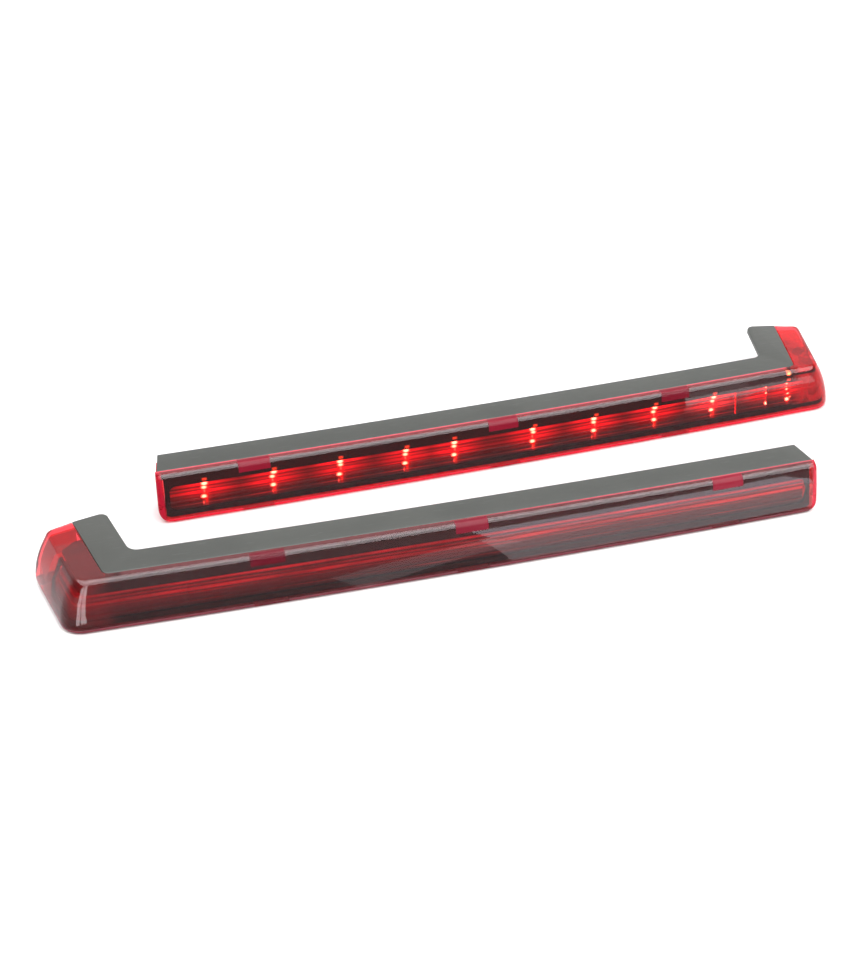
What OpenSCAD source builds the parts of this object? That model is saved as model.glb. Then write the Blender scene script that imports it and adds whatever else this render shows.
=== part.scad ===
// A handed pair of wrap-round LED brake lamps for the two top corners of a luggage case.
// One lamp is drawn in its own frame and mirrored for the other side.
// Lamp frame: the origin is the sharp outer corner of its mounting plate, +X runs along the
// long arm, +Y points to the case and +Z is up from the surface that the lamp lies on.
// "Out" is the distance outward from the plate's outer edge, and "along" runs along the hook.

/* [Lamp outline] */
// Length of the long arm, along the plate's outer edge
arm_l = 268; // [262:1:300]
// Height of a lamp
lamp_h = 19.8; // [19:0.1:22]
// Width of the plate along the long arm
arm_w = 11.3; // [11:0.1:13]
// Width of the plate along the hook
hook_w = 12.5; // [12:0.1:14]
// Length of the hook, along the plate's outer edge
hook_l = 34.6; // [32:0.1:40]
// How far the hook opens beyond a right angle, in degrees
hook_splay = 13.4; // [10:0.1:16]
// How far the arm bows towards the front at its middle
arm_bow = 1.5; // [0:0.1:2]
// How much shorter the arm's back edge is than its outer edge
end_slant = 2; // [0:0.1:3]

/* [Mounting plate] */
// Thickness of the plate
plate_t = 2.1; // [1.8:0.1:2.4]
// Radius of the plate's outer corner
plate_corner_r = 3; // [2:0.1:4]
// Radius of the plate's inner corner
plate_inner_r = 4.5; // [3:0.1:5]
// Radius of the locating pins under the plate
pin_r = 1.2; // [1:0.1:1.4]

/* [Lens] */
// Thickness of the lens wall
lens_wall = 1.6; // [1.4:0.1:1.8]
// Flat lip of the lens beside the long arm
lip_arm = 1.6; // [1.2:0.1:2]
// Flat lip of the lens beside the hook
lip_hook = 8.6; // [8:0.1:9]
// Radius of the ridge between the lip and the wall
ridge_r = 2.2; // [2:0.1:2.4]
// How far out the foot of the wall stands along the arm
foot_arm = 7.2; // [6.8:0.05:7.4]
// How far out the foot of the wall stands along the hook
foot_hook = 16.7; // [16:0.1:17.2]
// Radius at the foot of the wall
foot_r = 1.5; // [1.2:0.1:1.6]
// How far the lens stands beyond the plate at the straight end
end_proud = 0.6; // [0.5:0.1:1.2]
// Radius of the lower corners at both ends, seen from the front
end_low_r = 5.4; // [4:0.1:6]

/* [Optics] */
// Thickness of the rim frame
frame_t = 1.2; // [1:0.1:1.3]
// Bottom of the frame's window
window_low = 3.6; // [3.2:0.1:4]
// Top of the frame's window along the arm
window_high = 13.7; // [13:0.1:14.2]
// Top of the frame's window along the hook
window_high_hook = 16.4; // [16:0.1:16.6]
// Where the seam between the two optics lies
optic_seam = 27.5; // [26:0.5:29]
// Number of flutes up the optics
flutes = 7; // [5:1:8]
// Depth of a flute
flute_depth = 0.45; // [0.3:0.05:0.5]

/* [Lamp board] */
// LEDs along the arm
arm_leds = 9; // [7:1:9]
// First LED of the arm, from the plate's outer corner
led_first = 37.8; // [36:0.1:39]
// Distance between LEDs
led_pitch = 26.6; // [25:0.1:27]
// Height of the LEDs above the base
led_z = 9; // [8:0.1:10]
// Thickness of the circuit boards
board_t = 1.6; // [1:0.1:1.6]

/* [Fixings] */
// Distance between the two threaded inserts
insert_spacing = 135; // [134:1:136]
// Bore radius of a threaded insert, for an M3 screw
insert_bore_r = 1.25; // [1.2:0.05:1.3]
// Bore radius of the cable gland
gland_bore_r = 2; // [1.6:0.1:2.1]

/* [Placing of the pair] */
// How far the right lamp's corner stands along the left lamp's arm
right_x = 293.2; // [290:0.1:310]
// How far the right lamp's corner stands behind the left lamp's
right_y = 66.2; // [60:0.1:90]
// Turn of the right lamp, in degrees
right_turn = 1.8; // [0:0.1:4]

/* [Hidden] */

$fn = 48;
ARM = 0;
CORNER = 1;
HOOK = 2;
gap = 0.1;               // clearance between fitted pieces
edge_gap = 0.25;         // visible joint between the plate and the lens
plate_z = lamp_h - plate_t;
ridge_arm_end = 10;      // the ridge's arc stops at these angles above the horizontal
ridge_hook_end = 25;
crown_arm = 0.2;         // bulge of the lens wall
crown_hook = 1.2;
arm_slope = 4 * arm_bow / arm_l;

// ---------------------------------------------------------------- the lamp's plan

function unit(v) = v / norm(v);
arm_dir = unit([1, -arm_slope]);
hook_dir = [-sin(hook_splay), cos(hook_splay)];
hook_out = [-cos(hook_splay), -sin(hook_splay)];
corner_half = acos(arm_dir * hook_dir) / 2;
inward = unit(arm_dir + hook_dir);
arc_from = 270 - atan(arm_slope);
arc_to = 180 + hook_splay;

// The arm bows forward as a shallow parabola.
function bow(x) = -4 * arm_bow * (x / arm_l) * (1 - x / arm_l);

// The straight end is cut on a slant, which fades out along the last 30 mm of the arm.
function slanted(x, out) = x + out * (end_slant / arm_w) * max(0, 1 - (arm_l - x) / 30);
function arm_point(x, out) = [slanted(x, out), bow(x) - out];
function hook_point(along, out) = hook_dir * along + hook_out * out;

// Where a line that stands out_a from the arm meets a line that stands out_h from the hook.
function meeting(out_a, out_h) = hook_point(
    (out_h * (arm_slope * cos(hook_splay) + sin(hook_splay)) - out_a)
        / (cos(hook_splay) - arm_slope * sin(hook_splay)), out_h);
// A point on the arc of radius r that rounds that meeting, from t = 0 on the arm to 1 on the hook.
function corner_point(t, out_a, out_h, r) = let (
        a = arc_from + t * (arc_to - arc_from),
        centre = meeting(out_a, out_h) + inward * r / sin(corner_half))
    centre + r * [cos(a), sin(a)];

function mix(a, b, t) = a + (b - a) * t;
function reversed(list) = [for (i = [len(list) - 1 : -1 : 0]) list[i]];

arm_steps = [for (i = [0 : 9]) mix(arm_l - 8, 16, i / 9)];

// An L-shaped line that stands out_a from the arm and out_h from the hook.
function l_line(out_a, out_h, r, x_end, along_end) = concat(
    [arm_point(x_end, out_a)],
    [for (x = arm_steps) if (x < x_end - 1) arm_point(x, out_a)],
    [for (i = [0 : 6]) corner_point(i / 6, out_a, out_h, r)],
    [hook_point(along_end, out_h)]);

// A flat L-shaped band between two such lines.
module l_band(line_a, line_b, height) {
    linear_extrude(height) polygon(concat(line_a, reversed(line_b)));
}

// ---------------------------------------------------------------- the lens' section

function arc(centre, r, from, to, steps) =
    [for (i = [0 : steps]) centre + r * [cos(mix(from, to, i / steps)), sin(mix(from, to, i / steps))]];

// The wall of the lens: [lip, angle where the ridge's arc stops, how far out its foot is, crown].
WALL_ARM = [lip_arm, ridge_arm_end, foot_arm, crown_arm];
WALL_HOOK = [lip_hook, ridge_hook_end, foot_hook, crown_hook];
ridge_z = lamp_h - ridge_r;

// How far out the lens' outer face is at height z.
function wall_out(w, z) = let (
        top_z = ridge_z + ridge_r * sin(w[1]),
        top_out = w[0] + ridge_r * cos(w[1]),
        t = (top_z - z) / (top_z - foot_r))
    mix(top_out, w[2], t) + w[3] * 4 * t * (1 - t);

WALL_STEPS = [0.1, 0.3, 0.5, 0.75];
function wall_z(w, t) = mix(ridge_z + ridge_r * sin(w[1]), foot_r, t);

// The solid section of the lens, and the hollow that is cut from it, as [out, z] points.
// Each starts at its inward corner, from which all of the section can be seen.
function solid_section(w, back) = concat(
    [[edge_gap, plate_z - gap]],
    [[edge_gap, lamp_h]],
    arc([w[0], ridge_z], ridge_r, 90, w[1], 4),
    [for (t = WALL_STEPS) [wall_out(w, wall_z(w, t)), wall_z(w, t)]],
    arc([w[2] - foot_r, foot_r], foot_r, 0, -90, 4),
    [[-back, 0], [-back, plate_z - gap]]);
function hollow_section(w, back, floor_out) = concat(
    [[floor_out, lens_wall], [floor_out, -1], [-back, -1], [-back, lamp_h - lens_wall]],
    arc([w[0], ridge_z], ridge_r - lens_wall, 90, w[1], 3),
    [for (t = WALL_STEPS) [wall_out(w, wall_z(w, t)) - lens_wall, wall_z(w, t)]],
    [[w[2] - lens_wall, foot_r + 1], [w[2] - lens_wall - 0.05, lens_wall]]);

// The radius of the corner grows with the distance out from the plate.
function corner_r(radius, out) = max(radius + 0.9 * min(out, 6), 1);

// One point of a section in both arms: [out on arm, z on arm, out on hook, z on hook, corner radius].
function joined(arm_section, hook_section, radius) = [for (i = [0 : len(arm_section) - 1])
    [arm_section[i][0], arm_section[i][1], hook_section[i][0], hook_section[i][1],
        corner_r(radius, arm_section[i][0])]];
// A point that lies depth behind the lens' outer face.
function behind_wall(depth, z_arm, z_hook) = let (out = wall_out(WALL_ARM, z_arm) - depth)
    [out, z_arm, wall_out(WALL_HOOK, z_hook) - depth, z_hook, corner_r(1.7, out)];

// ---------------------------------------------------------------- sweeping a section along the L

// How far a rounded end pulls in at distance d from its end face.
function pull(d, r) = d >= r ? 0 : r - sqrt(r * r - (r - d) * (r - d));

// A station is [which stretch, position on it, pull at the front, pull at the foot, pull at the top].
function plain(stretch, v) = [stretch, v, 0, 0, 0];
function rounded(stretch, v, d, wall) =
    [stretch, v, pull(d, 3 - wall), pull(d, end_low_r - wall), pull(d, 2 - wall)];

function flat_point(s, q) =
    s[0] == ARM ? arm_point(s[1], q[0]) :
    s[0] == HOOK ? hook_point(s[1], q[2]) :
    corner_point(s[1], q[0], q[2], q[4]);
function height_at(s, q) = s[0] == ARM ? q[1] : s[0] == HOOK ? q[3] : mix(q[1], q[3], s[1]);
function squeezed(s, q) = [
    q[0] - s[2] * max(q[0], 0) / foot_arm, q[1],
    q[2] - s[2] * max(q[2], 0) / foot_hook, q[3], q[4]];
function lifted(s, q, z) = z < 0 ? z :
    z + s[3] * max(1 - z / (plate_z - gap), 0) - s[4] * min(max(q[0], 0), 2) / 2 * z / lamp_h;
function swept_point(s, q) = let (p = flat_point(s, squeezed(s, q)))
    [p[0], p[1], lifted(s, q, height_at(s, q))];

// Stations from the straight end round the corner to the far end of the hook.
END_STEPS = [0, 0.4, 1.2, 2.6, 5];
CORNER_STEPS = [for (i = [0 : 7]) plain(CORNER, i / 7)];
function full_run(wall) = concat(
    [for (d = END_STEPS) rounded(ARM, arm_l + end_proud - wall - d, d, wall)],
    [for (x = arm_steps) plain(ARM, x)],
    CORNER_STEPS,
    [plain(HOOK, 14), plain(HOOK, 22)],
    [for (d = reversed(END_STEPS)) rounded(HOOK, hook_l - wall - d, d, wall)]);
// Stations along the arm only, and from the arm round the corner into the hook.
function arm_run(x_from, x_to) = concat([plain(ARM, x_from)],
    [for (x = arm_steps) if (x < x_from - 2 && x > x_to + 2) plain(ARM, x)], [plain(ARM, x_to)]);
function wrap_run(x_from, along_to) = concat([plain(ARM, x_from)],
    [for (x = arm_steps) if (x < x_from - 2) plain(ARM, x)],
    CORNER_STEPS, [plain(HOOK, along_to)]);

// The solid that a section sweeps through its stations.
module sweep_solid(section, stations) {
    k = len(section);
    m = len(stations);
    polyhedron(
        points = [for (s = stations) for (q = section) swept_point(s, q)],
        faces = concat(
            [concat(0, [for (i = [k - 1 : -1 : 1]) i])],
            [for (j = [0 : m - 2], i = [0 : k - 1]) let (a = j * k + i, b = j * k + (i + 1) % k)
                each [[a, b, a + k], [b, b + k, a + k]]],
            [[for (i = [0 : k - 1]) (m - 1) * k + i]]));
}

// ---------------------------------------------------------------- what the pieces share

tab_x = [56.4, 131, 231.4];       // snap tabs that hold the lens
tab_l = 12.4;
frame_depth = lens_wall + 0.15;
frame_high = plate_z - gap - 0.6;
frame_low = lens_wall + 0.1;
frame_end = 20;                   // where the frame ends along the hook
window_end = arm_l - 3.9;         // the frame's upright at the straight end
optic_depth = frame_depth + frame_t + 0.25;
optic_t = 1.9;

housing_wall = 1.6;
housing_top = plate_z - gap;
housing_back = arm_w - 0.4;
housing_hook_back = 4.6;
housing_end = arm_l - lens_wall + end_proud - 0.3;
housing_hook_end = 25.5;
housing_front = 0.9;
housing_front_hook = 7.9;
joint_arm = -1.5;                 // the joint between the lens' floor and the housing's
joint_hook = 1;
seal_w = 0.6;

reflector_y = 0.9;
reflector_t = 0.8;
board_y = 2.8;
board_low = 2.4;
board_high = 15.2;
board_back = board_y + board_t;
board_end = arm_l - 6;
led_size = [3.4, 1.3, 3];
led_window = [5, 3, 5];           // cut through the reflector round an LED
led_x = [for (i = [0 : arm_leds - 1]) led_first + i * led_pitch + (i == 4 ? 6.4 : 0)];
screw_x = [for (k = [0.5, 3.65, 6.6]) led_first + k * led_pitch];

// The corner board stands turned across the corner.
corner_board_at = [8, 3.2];
corner_board_turn = 15;
corner_board_from = -12;
corner_board_l = 23;
corner_led_x = [-5, 4.7];

insert_x = [71, 71 + insert_spacing];
insert_l = 4.2;
insert_r = 2;
insert_low = 0.2;                 // how far the insert's mouth is above the base
insert_boss_r = 2.9;
function insert_y(x) = bow(x) + housing_back - 3;
gland_at = [21, 5.6];             // the gland stands in the floor, behind the corner board
gland_neck_r = 2.6;
gland_flange_r = 3.2;
gland_high = 4.9;
gland_lip = 0.5;
header_x = 36;
vent_z = 8.6;
vent_x = 100;
vent_r = 2.5;
screw_boss_r = 2.6;
screw_r = 1;
screw_l = 3.2;                    // how far a screw goes in beyond its board
pin_x = [24, arm_l / 2 - 30, arm_l / 2 + 30, arm_l - 14];
pin_y = 7;
board_l = board_end - optic_seam - 1.5;
board_h = board_high - board_low;

module on_corner_board() {
    translate([corner_board_at[0], corner_board_at[1], 0]) rotate([0, 0, -corner_board_turn]) children();
}

// A cylinder along Y, from y = from to y = to.
module along_y(r, from, to) {
    translate([0, to, 0]) rotate([90, 0, 0]) cylinder(r = r, h = to - from);
}

// ---------------------------------------------------------------- one lamp's pieces

module lens() color([0.72, 0.05, 0.1, 0.6]) {
    solid = joined(solid_section(WALL_ARM, housing_back - housing_wall - gap),
        solid_section(WALL_HOOK, 0.4), plate_corner_r);
    hollow = joined(hollow_section(WALL_ARM, 12, joint_arm),
        hollow_section(WALL_HOOK, 3, joint_hook), 1.6);
    difference() {
        sweep_solid(solid, full_run(0));
        sweep_solid(hollow, full_run(lens_wall));
    }
}

module mounting_plate() color([0.32, 0.32, 0.31]) {
    far = hook_l - 3;
    translate([0, 0, plate_z]) linear_extrude(plate_t) polygon(concat(
        l_line(0, 0, plate_corner_r, arm_l, hook_l),
        [for (p = arc([far, 3 - hook_w], 3, 0, -90, 5)) hook_point(p[0], p[1])],
        reversed(l_line(-arm_w, -hook_w, plate_inner_r, arm_l, far - 3))));
    for (x = pin_x) translate([x, bow(x) + pin_y, plate_z - housing_wall])
        cylinder(r = pin_r, h = housing_wall + 0.5);
}

module housing_walls() {
    top_line = l_line(housing_front, housing_front_hook, 3.5, housing_end, housing_hook_end - 3);
    back_line = l_line(-housing_back, -housing_hook_back, 1, housing_end, housing_hook_end);
    inner_line = l_line(housing_wall - housing_back, housing_wall - housing_hook_back, 0.6,
        housing_end, housing_hook_end);
    floor_line = l_line(joint_arm - seal_w, joint_hook - seal_w, 1, housing_end, housing_hook_end);
    translate([0, 0, housing_top - housing_wall])
        l_band(concat(top_line, [hook_point(housing_hook_end, 2.7)]), back_line, housing_wall);
    l_band(inner_line, back_line, housing_top - housing_wall / 2);
    l_band(floor_line, back_line, housing_wall);
    // The wall that closes the tray across the hook, rooted in the floor, the back and the top.
    root = housing_wall / 2;
    close_from = housing_hook_end - housing_wall - 0.4;
    close_to = housing_hook_end - 0.4;
    close_out = joint_hook - seal_w - 0.3;
    close_back = root - housing_hook_back;
    translate([0, 0, root]) linear_extrude(housing_top - 2 * root) polygon([
        hook_point(close_to, close_back), hook_point(close_to, close_out),
        hook_point(close_from, close_out), hook_point(close_from, close_back)]);
}

// A boss that stands on the floor against the back wall, cut flat behind the board.
module insert_boss(x) {
    difference() {
        translate([x, insert_y(x), housing_wall / 2])
            cylinder(r = insert_boss_r, h = insert_low + insert_l + 1);
        translate([x - 5, board_back + 0.1 - 10, 0]) cube([10, 10, 10]);
    }
}

module housing() color([0.09, 0.09, 0.09]) {
    hole_r = screw_r + 0.05;
    hole_l = screw_l + 0.2;
    difference() {
        union() {
            housing_walls();
            for (x = screw_x) translate([x, 0, led_z])
                along_y(screw_boss_r, board_back, bow(x) + housing_back - 0.5);
            for (x = insert_x) insert_boss(x);
            on_corner_board() translate([0, 0, led_z]) along_y(screw_boss_r, board_t, 6.2);
        }
        for (x = screw_x) translate([x, 0, led_z]) along_y(hole_r, board_back - 1, board_back + hole_l);
        on_corner_board() translate([0, 0, led_z]) along_y(hole_r, board_t - 1, board_t + hole_l);
        for (x = insert_x) translate([x, insert_y(x), -1])
            cylinder(r = insert_r, h = insert_low + insert_l + 1.2);
        translate([gland_at[0], gland_at[1], -1]) {
            cylinder(r = gland_neck_r + 0.05, h = housing_wall + 2);
            cylinder(r = gland_flange_r + 0.05, h = 1 + gland_lip + 0.05);
        }
        translate([vent_x, 0, vent_z]) along_y(vent_r, 4, housing_back + 2);
        for (x = pin_x) translate([x, bow(x) + pin_y, housing_top - housing_wall - 1])
            cylinder(r = pin_r + 0.1, h = housing_wall + 3);
    }
}

// A band of the frame, behind the lens' wall, between a low and a high line in each arm.
function frame_band(low, high, low_hook, high_hook) = [for (c = [
        [frame_depth + frame_t, 0], [frame_depth + frame_t, 1], [frame_depth, 1], [frame_depth, 0]])
    behind_wall(c[0], mix(low, high, c[1]), mix(low_hook, high_hook, c[1]))];

// A station of the frame at distance d from its rounded straight end.
function frame_station(d) = rounded(ARM, arm_l + end_proud - frame_depth - d, d, frame_depth);

module rim_frame() color([0.1, 0.07, 0.08]) {
    ends = [frame_station(1.2), frame_station(2.7)];
    run = concat(ends, wrap_run(arm_l - 6, frame_end));
    top_band = frame_band(window_high, frame_high, window_high_hook, frame_high);
    bottom_band = frame_band(frame_low, window_low, frame_low, window_low);
    upright = frame_band(frame_low, frame_high, frame_low, frame_high);
    difference() {
        union() {
            sweep_solid(top_band, run);
            sweep_solid(bottom_band, run);
            sweep_solid(upright, ends);
            sweep_solid(upright, [plain(HOOK, frame_end - 1.5), plain(HOOK, frame_end)]);
        }
        // Notches that the lens' snap tabs drop into.
        for (x = tab_x) translate([x - tab_l / 2, bow(x) - 8, frame_high - 1.2]) cube([tab_l, 8, 5]);
    }
}

// The flutes run the length of the optics: a wavy front face on a flat back.
function optic_section(high_hook) = let (
        low = window_low - 0.8, high = window_high + 0.7,
        back = optic_depth + optic_t,
        rise = [for (i = [0 : 2 * flutes]) i / (2 * flutes)])
    concat(
        [optic_point(0.5, low, high, high_hook, back)],
        [optic_point(1, low, high, high_hook, back)],
        [for (t = reversed(rise)) optic_point(t, low, high, high_hook,
            optic_depth + (round(t * 2 * flutes) % 2 == 0 ? flute_depth : 0))],
        [optic_point(0, low, high, high_hook, back)]);
function optic_point(t, low, high, high_hook, depth) =
    behind_wall(depth, mix(low, high, t), mix(low, high_hook, t));

module main_optic() color([0.6, 0.05, 0.12, 0.8]) {
    sweep_solid(optic_section(window_high + 0.7), arm_run(window_end - 0.2, optic_seam + gap));
}

module corner_optic() color([0.75, 0.08, 0.12, 0.8]) {
    sweep_solid(optic_section(window_high_hook - 0.4), wrap_run(optic_seam - gap, frame_end - 1.8));
}

module reflector() color([0.85, 0.85, 0.85]) {
    difference() {
        translate([board_end - board_l, reflector_y, board_low]) cube([board_l, reflector_t, board_h]);
        for (x = led_x) translate([x, reflector_y, led_z]) cube(led_window, center = true);
        for (x = screw_x) translate([x, 0, led_z]) along_y(screw_boss_r, reflector_y - 1, reflector_y + 2);
    }
}

module circuit_board() color([0.1, 0.35, 0.16]) {
    difference() {
        translate([board_end - board_l, board_y, board_low]) cube([board_l, board_t, board_h]);
        for (x = screw_x) translate([x, 0, led_z]) along_y(screw_r + 0.15, board_y - 1, board_back + 1);
    }
}

module corner_board() color([0.1, 0.35, 0.16]) {
    on_corner_board() difference() {
        translate([corner_board_from, 0, board_low]) cube([corner_board_l, board_t, board_h]);
        translate([0, 0, led_z]) along_y(screw_r + 0.15, -1, board_t + 1);
    }
}

module led_package() {
    translate([-led_size[0] / 2, -led_size[1], -led_size[2] / 2]) cube(led_size);
}

module arm_led_row() color([0.95, 0.9, 0.6]) {
    for (x = led_x) translate([x, board_y, led_z]) led_package();
}

module corner_led_row() color([0.95, 0.9, 0.6]) {
    on_corner_board() for (x = corner_led_x) translate([x, 0, led_z]) led_package();
}

module resistors() color([0.12, 0.12, 0.13]) {
    for (x = led_x) translate([x - 1.6, board_back, led_z - 6.2]) cube([3.2, 0.6, 1.6]);
}

module driver_chips() color([0.07, 0.07, 0.08]) {
    for (x = [led_x[1] + 12, led_x[5] + 12]) translate([x, board_back, led_z - 2]) {
        cube([5, 1.6, 4]);
        for (i = [0 : 3], side = [-0.9, 4]) translate([0.4 + i * 1.27, 0, side]) cube([0.4, 0.5, 0.9]);
    }
}

// The flat jumper runs from the back of one board to the back of the other.
link_t = 0.3;
link_gap = link_t / 2 + 0.02;     // from a board's back to the middle of the jumper
function behind_corner_board(x) = let (a = corner_board_turn, back = board_t + link_gap)
    corner_board_at + [x * cos(a) + back * sin(a), back * cos(a) - x * sin(a)];

module board_link() color([0.75, 0.5, 0.15]) {
    route = [behind_corner_board(7.5), behind_corner_board(10.5),
        [optic_seam - 1.5, board_back + link_gap], [optic_seam + 6, board_back + link_gap]];
    translate([0, 0, 5]) linear_extrude(6) {
        for (i = [0 : 2]) let (step = route[i + 1] - route[i])
            translate(route[i]) rotate(atan2(step[1], step[0]))
                translate([0, -link_t / 2]) square([norm(step), link_t]);
        for (i = [1, 2]) translate(route[i]) circle(d = link_t);
    }
}

// A pan-head screw with a hexagon socket, its shank a plain cylinder.
module board_screw() {
    difference() {
        along_y(2.1, -1.2, 0);
        translate([0, -0.6, 0]) rotate([90, 0, 0]) cylinder(r = 1.1, h = 1, $fn = 6);
    }
    along_y(screw_r, -0.1, board_t + screw_l);
}

module board_screws() color([0.7, 0.7, 0.72]) {
    for (x = screw_x) translate([x, board_y, led_z]) board_screw();
    on_corner_board() translate([0, 0, led_z]) board_screw();
}

module wire_header() color([0.9, 0.88, 0.8]) {
    translate([header_x, board_back, 4.6]) difference() {
        cube([8, 3, 7]);
        translate([0.8, 0.8, 0.8]) cube([6.4, 3, 5.4]);
    }
    for (i = [0 : 2]) translate([header_x + 2 + i * 2, board_back + 0.5, 8]) cube([0.5, 1.9, 0.5]);
}

// A grommet in the tray's floor: a lip in a recess below, a neck, and a tapered collar above.
module cable_gland() color([0.06, 0.06, 0.06]) {
    low = 0.05;
    collar = housing_wall + 0.05;
    translate([gland_at[0], gland_at[1], 0]) difference() {
        union() {
            translate([0, 0, low]) cylinder(r = gland_flange_r, h = gland_lip - low);
            translate([0, 0, low]) cylinder(r = gland_neck_r, h = collar);
            translate([0, 0, collar]) cylinder(r1 = gland_flange_r, r2 = gland_neck_r, h = gland_high - collar);
        }
        translate([0, 0, -1]) cylinder(r = gland_bore_r, h = gland_high + 2);
    }
}

module threaded_inserts() color([0.8, 0.62, 0.25]) {
    for (x = insert_x) translate([x, insert_y(x), insert_low]) difference() {
        cylinder(r = insert_r - 0.05, h = insert_l);
        translate([0, 0, -1]) cylinder(r = insert_bore_r, h = insert_l + 2);
    }
}

module lens_seal() color([0.25, 0.25, 0.25]) {
    outer = l_line(joint_arm - 0.05, joint_hook - 0.05, 1, housing_end, housing_hook_end);
    inner = l_line(joint_arm - seal_w + 0.05, joint_hook - seal_w + 0.05, 1, housing_end, housing_hook_end);
    translate([0, 0, 0.2]) l_band(outer, inner, 1.2);
}

module vent_plug() color([0.15, 0.15, 0.16]) {
    outer_y = bow(vent_x) + housing_back;
    translate([vent_x, 0, vent_z]) difference() {
        union() {
            along_y(vent_r - 0.05, outer_y - housing_wall - 0.6, outer_y + 0.3);
            along_y(vent_r + 1, outer_y + gap, outer_y + 1);
        }
        along_y(0.6, outer_y - 5, outer_y + 3);
    }
}

// ---------------------------------------------------------------- the pair

// The pair's box in plan decides where its origin goes: the middle of the base.
function right_placed(p) = [right_x, right_y] + [
    -p[0] * cos(right_turn) - p[1] * sin(right_turn),
    -p[0] * sin(right_turn) + p[1] * cos(right_turn)];
lens_outline = joined(solid_section(WALL_ARM, 0), solid_section(WALL_HOOK, 0), plate_corner_r);
rim = [for (s = full_run(0), q = lens_outline) let (p = swept_point(s, q)) [p[0], p[1]]];
plate_far = [hook_point(hook_l, 0), hook_point(hook_l, -hook_w)];
both = concat(rim, plate_far, [for (p = concat(rim, plate_far)) right_placed(p)]);
middle = [
    (min([for (p = both) p[0]]) + max([for (p = both) p[0]])) / 2,
    (min([for (p = both) p[1]]) + max([for (p = both) p[1]])) / 2];

module left() {
    translate([-middle[0], -middle[1], 0]) children();
}

module right() {
    translate([right_x - middle[0], right_y - middle[1], 0])
        rotate([0, 0, right_turn]) mirror([1, 0, 0]) children();
}

left() lens();  // left_lens
left() mounting_plate();  // left_mounting_plate
left() housing();  // left_housing
left() rim_frame();  // left_rim_frame
left() main_optic();  // left_main_optic
left() corner_optic();  // left_corner_optic
left() reflector();  // left_reflector
left() circuit_board();  // left_circuit_board
left() corner_board();  // left_corner_board
left() arm_led_row();  // left_arm_leds
left() corner_led_row();  // left_corner_leds
left() resistors();  // left_resistors
left() driver_chips();  // left_driver_chips
left() board_link();  // left_board_link
left() board_screws();  // left_board_screws
left() wire_header();  // left_wire_header
left() cable_gland();  // left_cable_gland
left() threaded_inserts();  // left_threaded_inserts
left() lens_seal();  // left_lens_seal
left() vent_plug();  // left_vent_plug

right() lens();  // right_lens
right() mounting_plate();  // right_mounting_plate
right() housing();  // right_housing
right() rim_frame();  // right_rim_frame
right() main_optic();  // right_main_optic
right() corner_optic();  // right_corner_optic
right() reflector();  // right_reflector
right() circuit_board();  // right_circuit_board
right() corner_board();  // right_corner_board
right() arm_led_row();  // right_arm_leds
right() corner_led_row();  // right_corner_leds
right() resistors();  // right_resistors
right() driver_chips();  // right_driver_chips
right() board_link();  // right_board_link
right() board_screws();  // right_board_screws
right() wire_header();  // right_wire_header
right() cable_gland();  // right_cable_gland
right() threaded_inserts();  // right_threaded_inserts
right() lens_seal();  // right_lens_seal
right() vent_plug();  // right_vent_plug
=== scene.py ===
import math
import random

import bmesh
import bpy
from mathutils import Matrix, Vector


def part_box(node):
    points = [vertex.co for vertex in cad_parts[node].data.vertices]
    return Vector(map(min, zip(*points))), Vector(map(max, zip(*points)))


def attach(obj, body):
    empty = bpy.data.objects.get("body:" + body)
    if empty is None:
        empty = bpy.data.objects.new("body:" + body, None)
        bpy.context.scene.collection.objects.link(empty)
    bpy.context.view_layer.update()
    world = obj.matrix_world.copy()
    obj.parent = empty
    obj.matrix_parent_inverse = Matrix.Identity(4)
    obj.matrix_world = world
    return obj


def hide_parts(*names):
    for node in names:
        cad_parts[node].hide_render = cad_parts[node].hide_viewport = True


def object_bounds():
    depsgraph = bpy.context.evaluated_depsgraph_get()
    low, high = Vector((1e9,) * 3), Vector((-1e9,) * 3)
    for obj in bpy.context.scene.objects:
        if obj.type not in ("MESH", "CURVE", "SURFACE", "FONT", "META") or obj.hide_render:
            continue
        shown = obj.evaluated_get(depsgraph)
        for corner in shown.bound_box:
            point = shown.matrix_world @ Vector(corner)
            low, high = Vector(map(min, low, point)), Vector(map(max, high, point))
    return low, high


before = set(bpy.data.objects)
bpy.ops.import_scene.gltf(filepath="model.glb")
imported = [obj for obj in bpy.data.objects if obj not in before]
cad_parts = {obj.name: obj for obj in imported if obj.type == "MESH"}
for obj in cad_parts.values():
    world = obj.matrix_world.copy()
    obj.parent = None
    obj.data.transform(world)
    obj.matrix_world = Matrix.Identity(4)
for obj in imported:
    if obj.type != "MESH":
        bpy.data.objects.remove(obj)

CAD_BOX = [list(corner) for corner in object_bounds()]
SCENE = bpy.context.scene
SCENE.view_settings.view_transform = "Standard"
MM = 0.001
SIDES = ("left", "right")
LIT = "right"

# ---------------------------------------------------------------- camera

CAMERA_TARGET = Vector((-14.41, 5.51, 0)) * MM
CAMERA_AZIMUTH = math.radians(15.328)
CAMERA_ELEVATION = math.radians(34.656)
CAMERA_DISTANCE = 615 * MM
CAMERA_LENS = 58.09


def add_camera():
    towards = Vector((
        math.sin(CAMERA_AZIMUTH) * math.cos(CAMERA_ELEVATION),
        math.cos(CAMERA_AZIMUTH) * math.cos(CAMERA_ELEVATION),
        -math.sin(CAMERA_ELEVATION),
    ))
    data = bpy.data.cameras.new("camera")
    data.lens = CAMERA_LENS
    data.clip_start = 0.01
    camera = bpy.data.objects.new("camera", data)
    camera.location = CAMERA_TARGET - towards * CAMERA_DISTANCE
    camera.rotation_euler = towards.to_track_quat("-Z", "Y").to_euler()
    SCENE.collection.objects.link(camera)
    SCENE.camera = camera


add_camera()

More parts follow.
